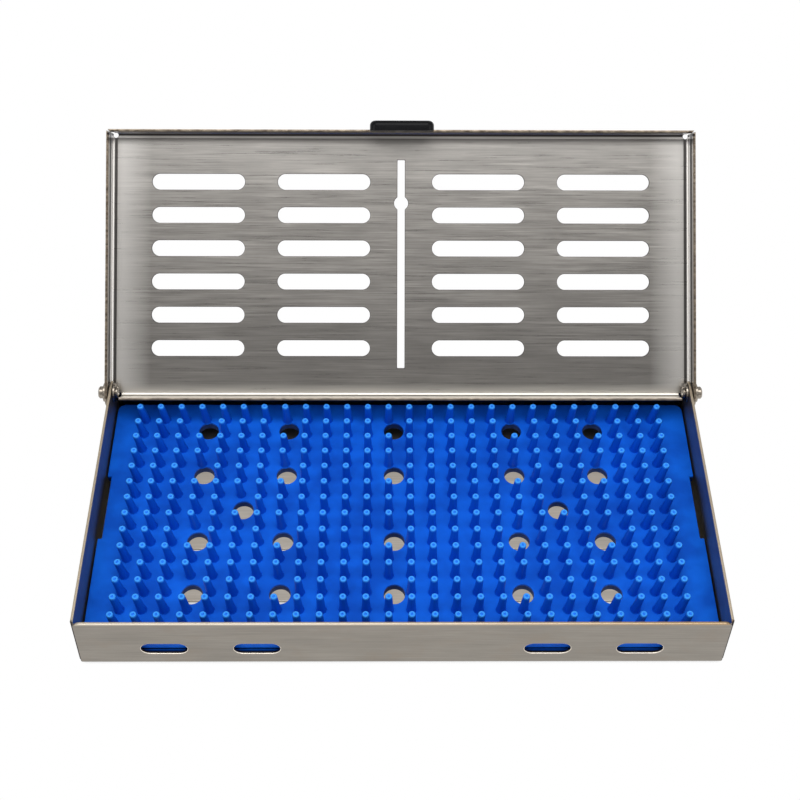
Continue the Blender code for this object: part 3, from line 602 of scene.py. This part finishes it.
class Finish:
    """A node material whose parts are added one call at a time."""

    def __init__(self, name):
        self.material = bpy.data.materials.new(name)
        self.material.use_nodes = True
        self.nodes = self.material.node_tree.nodes
        self.links = self.material.node_tree.links
        self.shader = self.nodes["Principled BSDF"]
        self.place = self.nodes.new("ShaderNodeTexCoord").outputs["Object"]

    def add(self, kind, inputs=None, **settings):
        node = self.nodes.new("ShaderNode" + kind)
        for key, value in settings.items():
            setattr(node, key, value)
        for key, value in (inputs or {}).items():
            self.feed(node.inputs[key], value)
        return node

    def feed(self, socket, value):
        if isinstance(value, bpy.types.NodeSocket):
            self.links.new(value, socket)
        else:
            socket.default_value = value

    def set(self, **values):
        for key, value in values.items():
            self.feed(self.shader.inputs[key.replace("_", " ")], value)

    def mapped(self, scale=(1, 1, 1), shift=(0, 0, 0), turn=(0, 0, 0)):
        return self.add("Mapping", {"Vector": self.place, "Scale": scale, "Location": shift,
                                    "Rotation": turn}).outputs["Vector"]

    def lid_axes(self):
        """Object coordinates in the closed lid's own axes about the hinge."""
        turn = Matrix.Rotation(LID_OPEN_ANGLE, 4, "X")
        return self.mapped(shift=-(turn @ PIVOT), turn=(LID_OPEN_ANGLE, 0, 0))

    def noise(self, scale, detail=3, roughness=0.55, shift=(0, 0, 0)):
        return self.add("TexNoise", {"Vector": self.mapped(scale, shift), "Scale": 1.0, "Detail": detail,
                                     "Roughness": roughness}).outputs["Fac"]

    def ramp(self, value, low, high, to_low=0.0, to_high=1.0):
        return self.add("MapRange", {"Value": value, "From Min": low, "From Max": high, "To Min": to_low,
                                     "To Max": to_high}, clamp=True).outputs["Result"]

    def band(self, value, low, high, soft):
        """1 between low and high, fading to 0 over soft outside them."""
        rise = self.ramp(value, low - soft, low)
        fall = self.ramp(value, high, high + soft, 1.0, 0.0)
        return self.math("MULTIPLY", rise, fall)

    def math(self, operation, a, b=0.0):
        node = self.nodes.new("ShaderNodeMath")
        node.operation = operation
        self.feed(node.inputs[0], a)
        self.feed(node.inputs[1], b)
        return node.outputs[0]

    def both(self, a, b):
        return self.math("MULTIPLY", a, b)

    def blend(self, share, a, b):
        node = self.add("Mix", data_type="RGBA")
        self.feed(node.inputs["Factor"], share)
        for name, value in (("A", a), ("B", b)):
            socket = [s for s in node.inputs if s.name == name and s.type == "RGBA"][0]
            self.feed(socket, value if isinstance(value, bpy.types.NodeSocket) else (*value, 1))
        return [s for s in node.outputs if s.type == "RGBA"][0]

    def parts(self, vector=None):
        node = self.add("SeparateXYZ", {"Vector": vector or self.place})
        return node.outputs["X"], node.outputs["Y"], node.outputs["Z"]

    def bump(self, height, distance, strength=1.0):
        return self.add("Bump", {"Height": height, "Distance": distance,
                                 "Strength": strength}).outputs["Normal"]


def brushed(finish, tone, contrast=0.16):
    """Fine brushing lines along X over soft mottling; gives the colour and the lines."""
    fine = finish.noise((60, 2600, 2600), detail=3, roughness=0.6)
    long = finish.noise((32, 800, 800), detail=3, roughness=0.6, shift=(5, 2, 9))
    broad = finish.noise((45, 120, 120), detail=5, roughness=0.6, shift=(3, 1, 7))
    lines = finish.math("ADD", finish.both(fine, 0.62), finish.both(long, 0.38))
    darker = tuple((1 - 2 * contrast) * part for part in tone)
    lighter = tuple(min(1, (1 + contrast) * part) for part in tone)
    color = finish.blend(finish.ramp(lines, 0.24, 0.76), darker, lighter)
    color = finish.blend(finish.ramp(broad, 0.4, 0.66, 0.0, 0.35), color, darker)
    return color, lines


def tray_steel(name):
    """The tray's sheet: brushed walls with faint brown stains, straw-tinted edges that carry a painted
    highlight, a painted highlight round each slot, and painted shade in the front wall's seams, along its
    foot and on its slots' walls.
    """
    finish = Finish(name)
    color, lines = brushed(finish, TRAY_TONE, 0.16)
    x, y, z = finish.parts()
    stains = finish.noise((75, 95, 110), detail=5, roughness=0.62, shift=(11, 5, 2))
    color = finish.blend(finish.ramp(stains, 0.5, 0.72, 0.0, 0.6), color, STAIN_TONE)

    # Rims: a painted highlight along the walls' top edges, tinted straw; pale on the front wall's left,
    # browner on its right and on the side walls
    rim_highlight = finish.ramp(z, *(TRAY_HEIGHT - depth for depth in RIM_FADE))
    at_front = finish.ramp(y, -TRAY_HALF_DEPTH + SHEET, -TRAY_HALF_DEPTH + 2 * SHEET, 1.0, 0.0)
    to_right = finish.ramp(x, -0.3 * TRAY_HALF_WIDTH, 0.9 * TRAY_HALF_WIDTH)
    front_rim_highlight = finish.blend(to_right, RIM_LEFT_HIGHLIGHT_TONE, RIM_RIGHT_TONE)
    rim_highlight_tone = finish.blend(at_front, STRAW_TINT_AND_HIGHLIGHT_TONE, front_rim_highlight)
    color = finish.blend(finish.both(rim_highlight, 0.85), color, rim_highlight_tone)

    # Painted shade in the open seams beside the front wall and along its foot, and a painted highlight round
    # each of its slots
    across = finish.math("ABSOLUTE", x)
    seam_shade = finish.ramp(across, *(TRAY_HALF_WIDTH - inset for inset in SEAM_FADE))
    color = finish.blend(finish.both(seam_shade, at_front), color, SEAM_SHADE_TONE)
    foot_shade = finish.ramp(z, *FOOT_SHADE_FADE, 1.0, 0.0)
    color = finish.blend(finish.both(foot_shade, at_front), color, FOOT_SHADE_TONE)
    slot_zone = finish.both(finish.band(across, 0, TRAY_HALF_WIDTH - SLOT_ZONE_MARGIN, MM),
                            finish.band(z, *SLOT_ZONE_HEIGHTS, MM))
    slot_highlight = finish.band(y, *(depth - TRAY_HALF_DEPTH for depth in SLOT_HIGHLIGHT_DEPTHS), 0.02 * MM)
    color = finish.blend(finish.both(slot_highlight, slot_zone), color, SLOT_HIGHLIGHT_TONE)
    # Painted shade on the walls of the front wall's slots
    slot_wall_shade = finish.band(y, SLOT_WALL_DEPTH - TRAY_HALF_DEPTH, 0.95 * SHEET - TRAY_HALF_DEPTH, 0.06 * MM)
    color = finish.blend(finish.both(slot_wall_shade, slot_zone), color, SLOT_WALL_SHADE_TONE)
    rough = finish.ramp(lines, 0.3, 0.7, 0.36, 0.46)
    finish.set(Base_Color=color, Metallic=1.0, Roughness=rough, Normal=finish.bump(lines, 0.00002, 0.35))
    return finish.material


def lid_steel(name):
    """The lid's sheet: a brushed panel with painted highlights on its bends, ends and front, painted shade in
    its creases and toward the hinge, and browned cut edges.
    """
    finish = Finish(name)
    color, lines = brushed(finish, LID_TONE, 0.26)
    x, y, z = finish.parts(finish.lid_axes())
    across = finish.math("ABSOLUTE", x)
    wear = finish.noise((420, 900, 900), detail=4, roughness=0.65, shift=(1, 8, 4))

    # Only the lid's inside is painted, not its outer faces
    inner_side = finish.ramp(across, LID_HALF_WIDTH - 0.5 * SHEET, LID_HALF_WIDTH - 0.35 * SHEET, 1.0, 0.0)
    inner_ends = finish.band(y, LID_FRONT + 0.5 * SHEET, LID_TAIL - 0.5 * SHEET, 0.1 * SHEET)
    inner = finish.both(inner_side, inner_ends)
    inside = finish.both(inner, finish.ramp(z, LID_TOP - 0.5 * SHEET, LID_TOP - 0.25 * SHEET, 1.0, 0.0))

    # Painted shade darkens the panel toward the hinge; painted highlights make it paler toward its ends and
    # its front, and at the hinge bend
    hinge_shade = finish.ramp(y, *PANEL_SHADE_FADE, 0.0, 0.55)
    color = finish.blend(finish.both(hinge_shade, inside), color, LID_SHADE_TONE)
    front_highlight = finish.ramp(y, *(LID_FRONT + place for place in PANEL_HIGHLIGHT_FADE), 0.18, 0.0)
    color = finish.blend(finish.both(front_highlight, inside), color, PANEL_HIGHLIGHT_TONE)
    # Painted highlight toward the panel's ends
    ends = finish.ramp(across, *(LID_HALF_WIDTH - inset for inset in PANEL_END_HIGHLIGHT_FADE), 0.0, 0.75)
    color = finish.blend(finish.both(ends, inside), color, PANEL_HIGHLIGHT_TONE)
    # Painted highlight along the hinge bend
    hinge_bend_highlight = finish.ramp(y, *HINGE_BEND_HIGHLIGHT_FADE, 0.0, 0.9)
    color = finish.blend(finish.both(hinge_bend_highlight, inside), color, HINGE_BEND_HIGHLIGHT_TONE)

    # Browned cut edges of the flanges
    edge_low = LID_TOP - LID_FLANGE_DEPTH
    cut_edge = finish.ramp(z, *(edge_low + height for height in CUT_EDGE_FADE), 1.0, 0.0)
    hinge_edge_low = LID_TOP - LID_HINGE_FLANGE_DEPTH
    hinge_cut = finish.ramp(z, *(hinge_edge_low + height for height in HINGE_EDGE_FADE), 1.0, 0.0)
    hinge_cut = finish.both(finish.ramp(y, *HINGE_CUT_FADE), hinge_cut)
    cut_edge = finish.math("MAXIMUM", cut_edge, finish.both(hinge_cut, 0.8))
    cut_tone = finish.blend(finish.ramp(wear, 0.35, 0.65), CUT_DARK_TONE, CUT_PALE_TONE)
    color = finish.blend(cut_edge, color, cut_tone)

    # Inside the side bends: a painted highlight over a crease of painted shade, and a painted dark line where
    # the panel begins
    at_sides = finish.ramp(across, *(LID_HALF_WIDTH - inset for inset in BEND_ZONE_FADE))
    at_sides = finish.both(at_sides, inner)
    bend_highlight = finish.both(finish.band(z, *BEND_HIGHLIGHT_HEIGHTS, 0.3 * MM), at_sides)
    color = finish.blend(bend_highlight, color, BEND_HIGHLIGHT_TONE)
    side_crease_shade = finish.both(finish.band(z, *BEND_CREASE_HEIGHTS, 0.3 * MM), at_sides)
    side_shade_line = finish.band(across, *(LID_HALF_WIDTH - inset for inset in SIDE_CREASE_PLACES), 0.12 * MM)
    side_shade_line = finish.both(side_shade_line, inside)

    # Inside the front bend: painted shade in the crease, and a painted dark band that fades out over the
    # panel
    front_crease_shade = finish.band(y, *(LID_FRONT + place for place in FRONT_CREASE_PLACES), 0.12 * MM)
    shade_start, shade_full, shade_fade, shade_end = (LID_FRONT + place for place in FRONT_SHADE_PLACES)
    front_shade_band = finish.both(finish.ramp(y, shade_start, shade_full),
                             finish.ramp(y, shade_fade, shade_end, 1.0, 0.0))
    front_shade_lines = finish.both(finish.math("ADD", front_crease_shade, finish.both(front_shade_band, 0.75)), inside)

    # The punched edges of the slots get painted shade too
    punched_low, punched_high = PUNCHED_EDGES
    punched_shade = finish.band(z, LID_TOP - SHEET + punched_low, LID_TOP - punched_high, 0.02 * MM)
    # All the painted shade of the bends, the front and the slots' edges, gathered in one mask
    grime_and_shade = finish.math("MAXIMUM", finish.both(side_shade_line, 0.85), finish.both(front_shade_lines, 0.95))
    grime_and_shade = finish.math("MAXIMUM", side_crease_shade, grime_and_shade)
    grime_and_shade = finish.math("MAXIMUM", grime_and_shade, finish.both(punched_shade, 0.9))
    color = finish.blend(grime_and_shade, color, CREASE_SHADE_TONE)

    rough = finish.ramp(lines, 0.3, 0.7, 0.25, 0.36)
    # Metallic drops under the bends' painted highlight so that it shows pale
    finish.set(Base_Color=color, Metallic=finish.ramp(bend_highlight, 0.0, 1.0, 1.0, 0.25), Roughness=rough,
               Normal=finish.bump(lines, 0.00002, 0.45))
    return finish.material


def turned_steel(name):
    """Rivets and washers: turning marks across the hinge axis, with dark specks of grime."""
    finish = Finish(name)
    rings = finish.noise((9000, 300, 300), detail=2)
    grime_and_shade = finish.noise((900, 900, 900), detail=4, roughness=0.6, shift=(2, 6, 1))
    color = finish.blend(rings, RIVET_DARK_TONE, RIVET_PALE_TONE)
    color = finish.blend(finish.ramp(grime_and_shade, 0.5, 0.7, 0.0, 0.6), color, RIVET_GRIME_TONE)
    finish.set(Base_Color=color, Metallic=1.0, Roughness=finish.ramp(rings, 0.3, 0.7, 0.16, 0.28),
               Normal=finish.bump(rings, 0.00002, 0.4))
    return finish.material


def silicone(name):
    """Blue silicone: a mottled plate, with painted shade on its underside and on the pins' shafts and a
    painted highlight on the pins' tips.
    """
    finish = Finish(name)
    mottle = finish.noise((95, 110, 60), detail=3, roughness=0.5)
    grain = finish.noise((2600, 2600, 2600), detail=2)
    _, y, z = finish.parts()
    color = finish.blend(finish.ramp(mottle, 0.38, 0.62), MAT_DEEP_TONE, MAT_TONE)
    top = MAT_TOP + PIN_HEIGHT
    # Painted shade on the pins' shafts
    shaft_shade = finish.band(z, MAT_TOP + SHAFT_SHADE_FADE[0], top - SHAFT_SHADE_FADE[1], 0.3 * MM)
    color = finish.blend(finish.both(shaft_shade, 0.55), color, SHAFT_SHADE_TONE)
    # Painted highlight on the pins' tips
    tip_highlight = finish.ramp(z, *(top - depth for depth in TIP_HIGHLIGHT_FADE))
    color = finish.blend(tip_highlight, color, TIP_HIGHLIGHT_TONE)
    # Painted shade on the plate's underside, kept off its front edge
    under_shade = finish.ramp(z, *(MAT_TOP - depth for depth in UNDER_SHADE_FADE), 0.85, 0.0)
    behind = finish.ramp(y, *(depth - MAT_HALF_DEPTH for depth in MAT_FRONT_FADE))
    color = finish.blend(finish.both(under_shade, behind), color, MAT_UNDER_SHADE_TONE)
    finish.set(Base_Color=color, Roughness=finish.ramp(grain, 0.3, 0.7, 0.46, 0.60),
               Specular_IOR_Level=0.22, Specular_Tint=MAT_SHEEN_TONE,
               Normal=finish.bump(grain, 0.00002, 0.3))
    return finish.material


def black_rubber(name):
    """The grip's rubber: a fine grain, with smudges that show in its gloss."""
    finish = Finish(name)
    grain = finish.noise((2200, 2200, 2200), detail=3)
    smudge = finish.noise((220, 220, 220), detail=3, shift=(4, 4, 4))
    color = finish.blend(grain, RUBBER_DARK_TONE, RUBBER_PALE_TONE)
    finish.set(Base_Color=color, Roughness=finish.ramp(smudge, 0.3, 0.7, 0.22, 0.34),
               Specular_IOR_Level=0.12, Normal=finish.bump(grain, 0.00004, 0.15))
    return finish.material


def make_mat_plate(material):
    """The mat's plate with its studs, drain holes and end notches."""
    bm = bmesh.new()
    box(bm, (-MAT_HALF_WIDTH, -MAT_HALF_DEPTH, MAT_TOP - MAT_THICKNESS),
        (MAT_HALF_WIDTH, MAT_HALF_DEPTH, MAT_TOP))
    upright = edges_where(bm, lambda a, b: abs(a.z - b.z) > MAT_THICKNESS / 2)
    bevel_edges(bm, upright, MAT_CORNER, 6)
    plate = make_piece("mat_plate", bm, material)

    studs = bmesh.new()
    rows = drain_rows()
    middles = [(a + b) / 2 for a, b in zip(rows, rows[1:])]
    edge = MAT_HALF_DEPTH - STUD_EDGE_MARGIN
    end = MAT_HALF_WIDTH - STUD_END_MARGIN
    stud_top = MAT_TOP - MAT_THICKNESS / 2
    for x in (-end, -STUD_FROM_MIDDLE, STUD_FROM_MIDDLE, end):
        for y in (-edge, *middles, edge):
            cylinder(studs, (x, y, (stud_top + STUD_FOOT) / 2), "Z", STUD_DIAMETER,
                     stud_top - STUD_FOOT, SMALL_ROUND_SEGMENTS)
    combine(plate, studs, "UNION")

    # The lip under the front edge, which shows blue behind the tray's slots
    lip = bmesh.new()
    box(lip, (-MAT_HALF_WIDTH + 2 * MAT_CORNER, -MAT_HALF_DEPTH, FRONT_LIP_FOOT),
        (MAT_HALF_WIDTH - 2 * MAT_CORNER, -MAT_HALF_DEPTH + FRONT_LIP_THICKNESS, MAT_TOP - MAT_THICKNESS / 2))
    combine(plate, lip, "UNION")

    openings = bmesh.new()
    for x, y in drain_places():
        cylinder(openings, (x, y, MAT_TOP), "Z", DRAIN_DIAMETER, 2 * MAT_THICKNESS + OVERRUN)
    for side in (-1, 1):
        near, far = sorted((side * (MAT_HALF_WIDTH - NOTCH_DEPTH), side * (MAT_HALF_WIDTH + OVERRUN)))
        box(openings, (near, NOTCH_MIDDLE - NOTCH_LENGTH / 2, 0),
            (far, NOTCH_MIDDLE + NOTCH_LENGTH / 2, 2 * MAT_TOP))
    combine(plate, openings)
    clean(plate)
    round_off(plate, MAT_EDGE_ROUND, 2, 50)
    shade(plate)
    return plate


def make_pins(material):
    """The pins: round tapers that lean a little outward, with a flared foot and a dimpled tip."""
    bm = bmesh.new()
    drains = drain_places()
    top = MAT_TOP + PIN_HEIGHT
    profile = [(PIN_FOOT_RADIUS * 1.25, MAT_TOP - 0.1 * MM), (PIN_FOOT_RADIUS, MAT_TOP + 0.35 * MM),
               (PIN_TIP_RADIUS, top - 0.22 * MM), (PIN_TIP_RADIUS * 0.82, top), (PIN_TIP_RADIUS * 0.45, top),
               (PIN_TIP_RADIUS * 0.28, top - 0.35 * MM)]
    for column in range(PIN_COLUMNS):
        for row in range(PIN_ROWS):
            x, y = pin_place(column - (PIN_COLUMNS - 1) / 2, row - (PIN_ROWS - 1) / 2)
            if any(math.hypot(x - a, y - b) < DRAIN_DIAMETER / 2 for a, b in drains):
                continue
            radius, height = profile[0]
            start = bmesh.ops.create_circle(bm, cap_ends=True, segments=PIN_SIDES, radius=radius,
                                            matrix=Matrix.Translation((x, y, height)))["verts"]
            face = start[0].link_faces[0]
            middle = Vector((x, y, 0))
            for next_radius, height in profile[1:]:
                face = bmesh.ops.extrude_discrete_faces(bm, faces=[face])["faces"][0]
                lean = x * PIN_SPLAY * (height - MAT_TOP) / PIN_HEIGHT
                for vert in face.verts:
                    arm = (vert.co - middle) * (next_radius / radius)
                    vert.co = Vector((x + lean + arm.x, y + arm.y, height))
                middle = Vector((x + lean, y, 0))
                radius = next_radius
    bmesh.ops.holes_fill(bm, edges=[edge for edge in bm.edges if edge.is_boundary], sides=PIN_SIDES)
    pins = make_piece("mat_pins", bm, material)
    shade(pins, 50)
    return pins


def make_stage():
    """A pale floor that the camera sees as white, with the object's soft contact shadow."""
    bm = bmesh.new()
    bmesh.ops.create_grid(bm, x_segments=1, y_segments=1, size=FLOOR_HALF_SIZE,
                          matrix=Matrix.Translation((0, 0, -FLOOR_DROP)))
    finish = Finish("pale_floor")
    finish.set(Base_Color=(0.75, 0.75, 0.75, 1), Roughness=0.9)
    path = finish.add("LightPath")
    seen = finish.math("MAXIMUM", path.outputs["Is Camera Ray"],
                       finish.both(path.outputs["Is Glossy Ray"], MIRRORED_FLOOR_SHARE))
    seen = finish.math("MAXIMUM", seen, path.outputs["Is Transmission Ray"])
    occlusion = finish.add("AmbientOcclusion", {"Distance": CONTACT_SHADOW_REACH}, samples=8).outputs["AO"]
    open_share = finish.ramp(occlusion, 0.0, 0.5, 0.42, 1.0)
    glow = finish.add("Emission", {"Color": (1, 1, 1, 1), "Strength": open_share})
    mix = finish.add("MixShader", {0: seen, 1: finish.shader.outputs[0], 2: glow.outputs[0]})
    output = [node for node in finish.nodes if node.type == "OUTPUT_MATERIAL"][0]
    finish.links.new(mix.outputs[0], output.inputs["Surface"])
    make_piece("floor", bm, finish.material)


def make_light(name, place, target, width, height, power):
    lamp = bpy.data.lights.new(name, "AREA")
    lamp.shape = "RECTANGLE"
    lamp.size = width
    lamp.size_y = height
    lamp.energy = power
    item = bpy.data.objects.new(name, lamp)
    item.location = place
    item.rotation_euler = (Vector(target) - Vector(place)).to_track_quat("-Z", "Y").to_euler()
    bpy.context.scene.collection.objects.link(item)
    return item


def make_world():
    """Even light from all round, which the camera sees as a white background."""
    world = bpy.data.worlds.new("studio")
    world.use_nodes = True
    nodes, links = world.node_tree.nodes, world.node_tree.links
    background = nodes["Background"]
    background.inputs["Color"].default_value = (1, 1, 1, 1)
    path = nodes.new("ShaderNodeLightPath")
    strength = nodes.new("ShaderNodeMapRange")
    strength.inputs["To Min"].default_value = WORLD_STRENGTH
    strength.inputs["To Max"].default_value = BACKGROUND_STRENGTH
    links.new(path.outputs["Is Camera Ray"], strength.inputs["Value"])
    links.new(strength.outputs["Result"], background.inputs["Strength"])
    bpy.context.scene.world = world


def make_camera():
    forward = Vector((math.sin(CAMERA_YAW) * math.cos(CAMERA_PITCH),
                      math.cos(CAMERA_YAW) * math.cos(CAMERA_PITCH), -math.sin(CAMERA_PITCH)))
    level = Vector((math.cos(CAMERA_YAW), -math.sin(CAMERA_YAW), 0))
    above = level.cross(forward)
    right = level * math.cos(CAMERA_ROLL) + above * math.sin(CAMERA_ROLL)
    up = above * math.cos(CAMERA_ROLL) - level * math.sin(CAMERA_ROLL)
    camera = bpy.data.objects.new("camera", bpy.data.cameras.new("camera"))
    camera.data.sensor_width = SENSOR_WIDTH
    camera.data.lens = SENSOR_WIDTH * FOCAL_PIXELS / PHOTO_PIXELS
    camera.data.shift_x, camera.data.shift_y = (shift / PHOTO_PIXELS for shift in LENS_SHIFT_PIXELS)
    camera.data.clip_start = 10 * MM
    turn = Matrix((right, up, -forward)).transposed().to_4x4()
    camera.matrix_world = Matrix.Translation(CAMERA_PLACE) @ turn
    bpy.context.scene.collection.objects.link(camera)
    bpy.context.scene.camera = camera


def finish_node(node, material):
    """Gives a CAD node that stays a better material."""
    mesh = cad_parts[node].data
    mesh.materials.clear()
    mesh.materials.append(material)


make_camera()
make_world()
make_stage()
make_light("overhead_softbox", (0, -0.10, 0.80), (0, 0, 0), 0.9, 0.6, 4.6)
make_light("left_softbox", (-0.75, -0.25, 0.35), (0, 0.03, 0.03), 0.4, 0.6, 1.2)
make_light("right_softbox", (0.75, -0.25, 0.35), (0, 0.03, 0.03), 0.4, 0.6, 1.2)

# The light that reaches the tray's floor under the mat
under_mat_light = make_light("under_mat_light", UNDER_MAT_PLACE, UNDER_MAT_TARGET, 0.146, 0.064, 0.038)
under_mat_light.visible_camera = False

TRAY_STEEL = tray_steel("tray_steel")
LID_STEEL = lid_steel("lid_steel")
TURNED_STEEL = turned_steel("rivet_steel")
MAT_SILICONE = silicone("mat_silicone")
GRIP_RUBBER = black_rubber("grip_rubber")

finish_node("latch_spring", LID_STEEL)
for side in ("left", "right"):
    for part in ("hinge_rivet_", "outer_washer_", "inner_washer_"):
        finish_node(part + side, TURNED_STEEL)

for piece, body, node, slot in (
        (make_tray(TRAY_STEEL), "base", "tray", "brushed_steel"),
        (make_lid(LID_STEEL), "lid", "lid", "brushed_steel"),
        (make_grip(GRIP_RUBBER), "latch", "latch_grip", "black_rubber"),
        (make_mat_plate(MAT_SILICONE), "base", "silicone_mat", "blue_silicone"),
        (make_pins(MAT_SILICONE), "base", "silicone_mat", "blue_silicone")):
    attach(piece, body)
    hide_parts(node)

bpy.context.scene.view_settings.view_transform = "Standard"
